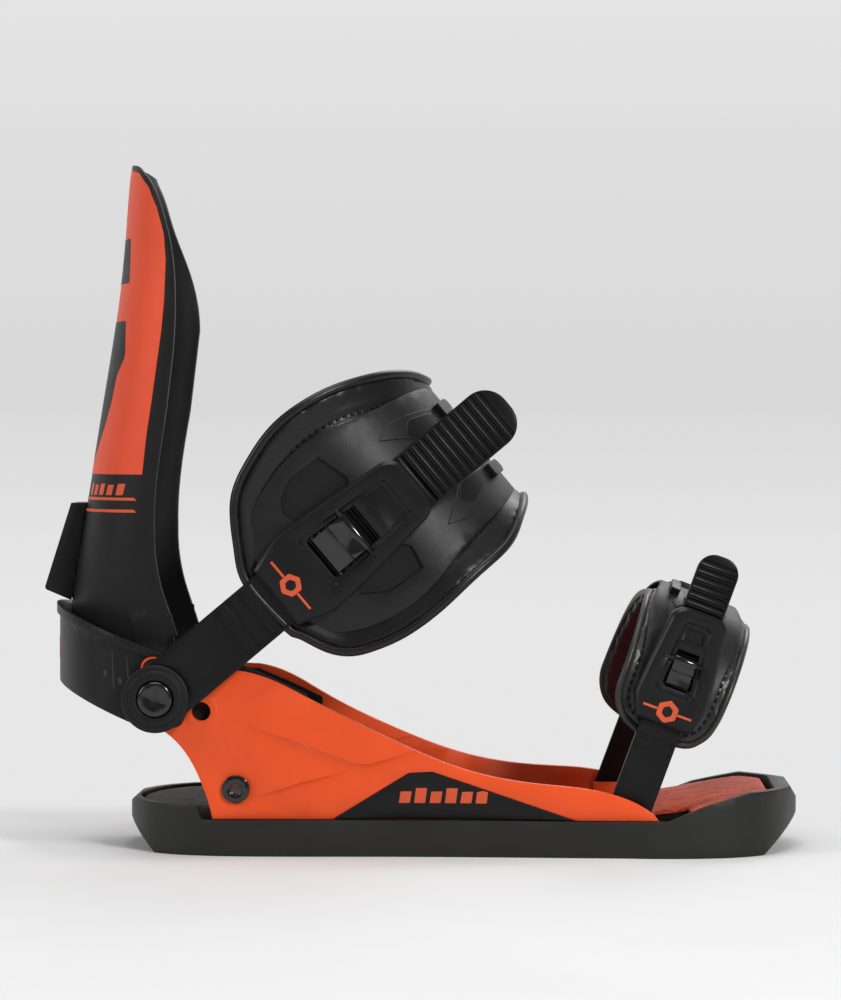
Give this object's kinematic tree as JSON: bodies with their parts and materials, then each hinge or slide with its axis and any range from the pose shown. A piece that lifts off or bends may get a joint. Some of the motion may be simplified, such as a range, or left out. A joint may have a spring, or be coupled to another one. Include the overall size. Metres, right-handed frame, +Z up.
{
  "type": "snowboard strap binding",
  "caption": "Left snowboard strap binding: orange nylon baseplate and highback print, black heel hoop, folding highback, padded ankle and toe straps with ratchet buckles.",
  "frame": {"origin": "centre of the mounting disc on the plane of the snowboard's top face", "axes": "+Z up from the board, +X towards the toe, -Y towards the inner side of the left foot, where the strap length adjusters are"},
  "size_m": [0.3211, 0.146, 0.2898],
  "materials": {
    "sole_foam": "matte foam rubber",
    "orange_nylon": "moulded satin nylon",
    "black_nylon": "moulded satin nylon",
    "gloss_black": "gloss",
    "eva_dark": "marbled closed-cell foam",
    "eva_orange": "streaky closed-cell foam",
    "pad_leather": "grained synthetic leather over foam",
    "strap_polymer": "satin flexible polymer",
    "hoop_metal": "satin black coat",
    "black_steel": "gloss black coat",
    "buckle_alloy": "satin black coat",
    "bare_steel": "plain",
    "disc_nylon": "glass-filled nylon",
    "orange_bush": "satin"
  },
  "bodies": {
    "base": {"sole_skin": "sole_foam", "baseplate": "orange_nylon", "side_panel_medial": "black_nylon", "side_panel_lateral": "black_nylon", "arm_liners": "eva_dark", "heel_footbed": "eva_dark", "arch_footbed": "eva_dark", "side_bushings": "gloss_black", "ankle_strap_washers": "black_nylon", "ankle_strap_bolts": "black_steel", "ankle_strap_spacers": "black_nylon", "ankle_strap_nuts": "bare_steel", "toe_strap_pins": "bare_steel"},
    "disc": {"mounting_disc": "disc_nylon"},
    "toe_ramp": {"toe_ramp_wedge": "black_nylon", "toe_ramp_pad": "eva_orange"},
    "hoop": {"heel_hoop": "hoop_metal", "highback_bushings": "orange_bush", "highback_bolts": "black_steel"},
    "highback": {"highback_shell": "black_nylon", "highback_pad": "eva_dark"},
    "lean_stop": {"lean_block": "black_nylon", "lean_screw": "black_steel"},
    "ankle_tongue_body": {"ankle_tongue": "strap_polymer"},
    "ankle_strap_body": {"ankle_pad": "pad_leather", "ankle_frame": "black_nylon", "ankle_adjuster": "black_nylon", "ankle_latch_pin": "bare_steel", "ankle_buckle_base": "buckle_alloy", "ankle_buckle_pins": "bare_steel", "ankle_lever_spring": "bare_steel", "ankle_pawl_spring": "bare_steel"},
    "ankle_latch_body": {"ankle_latch": "gloss_black"},
    "ankle_lever_body": {"ankle_ratchet_lever": "buckle_alloy"},
    "ankle_pawl_body": {"ankle_release_pawl": "buckle_alloy"},
    "ankle_ladder_body": {"ankle_ladder": "strap_polymer"},
    "toe_tongue_body": {"toe_tongue": "strap_polymer"},
    "toe_strap_body": {"toe_pad": "pad_leather", "toe_frame": "black_nylon", "toe_adjuster": "black_nylon", "toe_latch_pin": "bare_steel", "toe_buckle_base": "buckle_alloy", "toe_buckle_pins": "bare_steel", "toe_lever_spring": "bare_steel", "toe_pawl_spring": "bare_steel"},
    "toe_latch_body": {"toe_latch": "gloss_black"},
    "toe_lever_body": {"toe_ratchet_lever": "buckle_alloy"},
    "toe_pawl_body": {"toe_release_pawl": "buckle_alloy"},
    "toe_ladder_body": {"toe_ladder": "strap_polymer"}
  },
  "joints": [
    {"name": "disc_turn", "type": "hinge", "parent": "base", "child": "disc", "pos_m": [0, 0, 0], "axis": [0, 0, 1], "range_deg": [-45, 45]},
    {"name": "toe_ramp_slide", "type": "slide", "parent": "base", "child": "toe_ramp", "axis": [1, 0, 0], "range_m": [-0.008, 0]},
    {"name": "hoop_slide", "type": "slide", "parent": "base", "child": "hoop", "axis": [1, 0, 0], "range_m": [-0.006, 0.006]},
    {"name": "highback_fold", "type": "hinge", "parent": "hoop", "child": "highback", "pos_m": [-0.1234, 0, 0.078], "axis": [0, 1, 0], "range_deg": [0, 34]},
    {"name": "lean_stop_slide", "type": "slide", "parent": "highback", "child": "lean_stop", "axis": [0.1628, 0, 0.9867], "range_m": [0, 0.018]},
    {"name": "ankle_swing", "type": "hinge", "parent": "base", "child": "ankle_tongue_body", "pos_m": [-0.122, -0.064, 0.066], "axis": [0, 1, 0], "range_deg": [0, 20.4]},
    {"name": "ankle_length", "type": "slide", "parent": "ankle_tongue_body", "child": "ankle_strap_body", "axis": [0.766, 0, 0.6428], "range_m": [-0.006, 0.012]},
    {"name": "ankle_latch_flip", "type": "hinge", "parent": "ankle_strap_body", "child": "ankle_latch_body", "pos_m": [-0.03978, -0.0679, 0.13499], "axis": [-0.6428, 0, 0.766], "range_deg": [0, 35]},
    {"name": "ankle_lever_lift", "type": "hinge", "parent": "ankle_strap_body", "child": "ankle_lever_body", "pos_m": [-0.05842, 0.0695, 0.11935], "axis": [-0.6428, 0, 0.766], "range_deg": [0, 70]},
    {"name": "ankle_pawl_press", "type": "hinge", "parent": "ankle_strap_body", "child": "ankle_pawl_body", "pos_m": [-0.07029, 0.0692, 0.10939], "axis": [-0.6428, 0, 0.766], "range_deg": [0, 12]},
    {"name": "ankle_ladder_swing", "type": "hinge", "parent": "base", "child": "ankle_ladder_body", "pos_m": [-0.122, 0.064, 0.066], "axis": [0, 1, 0], "range_deg": [0, 20.4]},
    {"name": "toe_swing", "type": "hinge", "parent": "base", "child": "toe_tongue_body", "pos_m": [0.07252, -0.05572, 0.0155], "axis": [-0.0523, 0.9986, 0], "range_deg": [-15, 25]},
    {"name": "toe_length", "type": "slide", "parent": "toe_tongue_body", "child": "toe_strap_body", "axis": [0.3497, 0.0183, 0.9367], "range_m": [-0.004, 0.01]},
    {"name": "toe_latch_flip", "type": "hinge", "parent": "toe_strap_body", "child": "toe_latch_body", "pos_m": [0.09703, -0.05834, 0.0806], "axis": [-0.9354, -0.049, 0.3502], "range_deg": [0, 35]},
    {"name": "toe_lever_lift", "type": "hinge", "parent": "toe_strap_body", "child": "toe_lever_body", "pos_m": [0.08843, 0.06237, 0.07451], "axis": [-0.9354, -0.049, 0.3502], "range_deg": [0, 70]},
    {"name": "toe_pawl_press", "type": "hinge", "parent": "toe_strap_body", "child": "toe_pawl_body", "pos_m": [0.08302, 0.06179, 0.05999], "axis": [-0.9354, -0.049, 0.3502], "range_deg": [0, 12]},
    {"name": "toe_ladder_swing", "type": "hinge", "parent": "base", "child": "toe_ladder_body", "pos_m": [0.06668, 0.05572, 0.0155], "axis": [-0.0523, 0.9986, 0], "range_deg": [-15, 25]}
  ],
  "couplings": [
    {"joint": "ankle_swing", "follows": "highback_fold", "ratio": 0.6},
    {"joint": "ankle_ladder_swing", "follows": "highback_fold", "ratio": 0.6},
    {"joint": "toe_ladder_swing", "follows": "toe_swing", "ratio": 1}
  ]
}
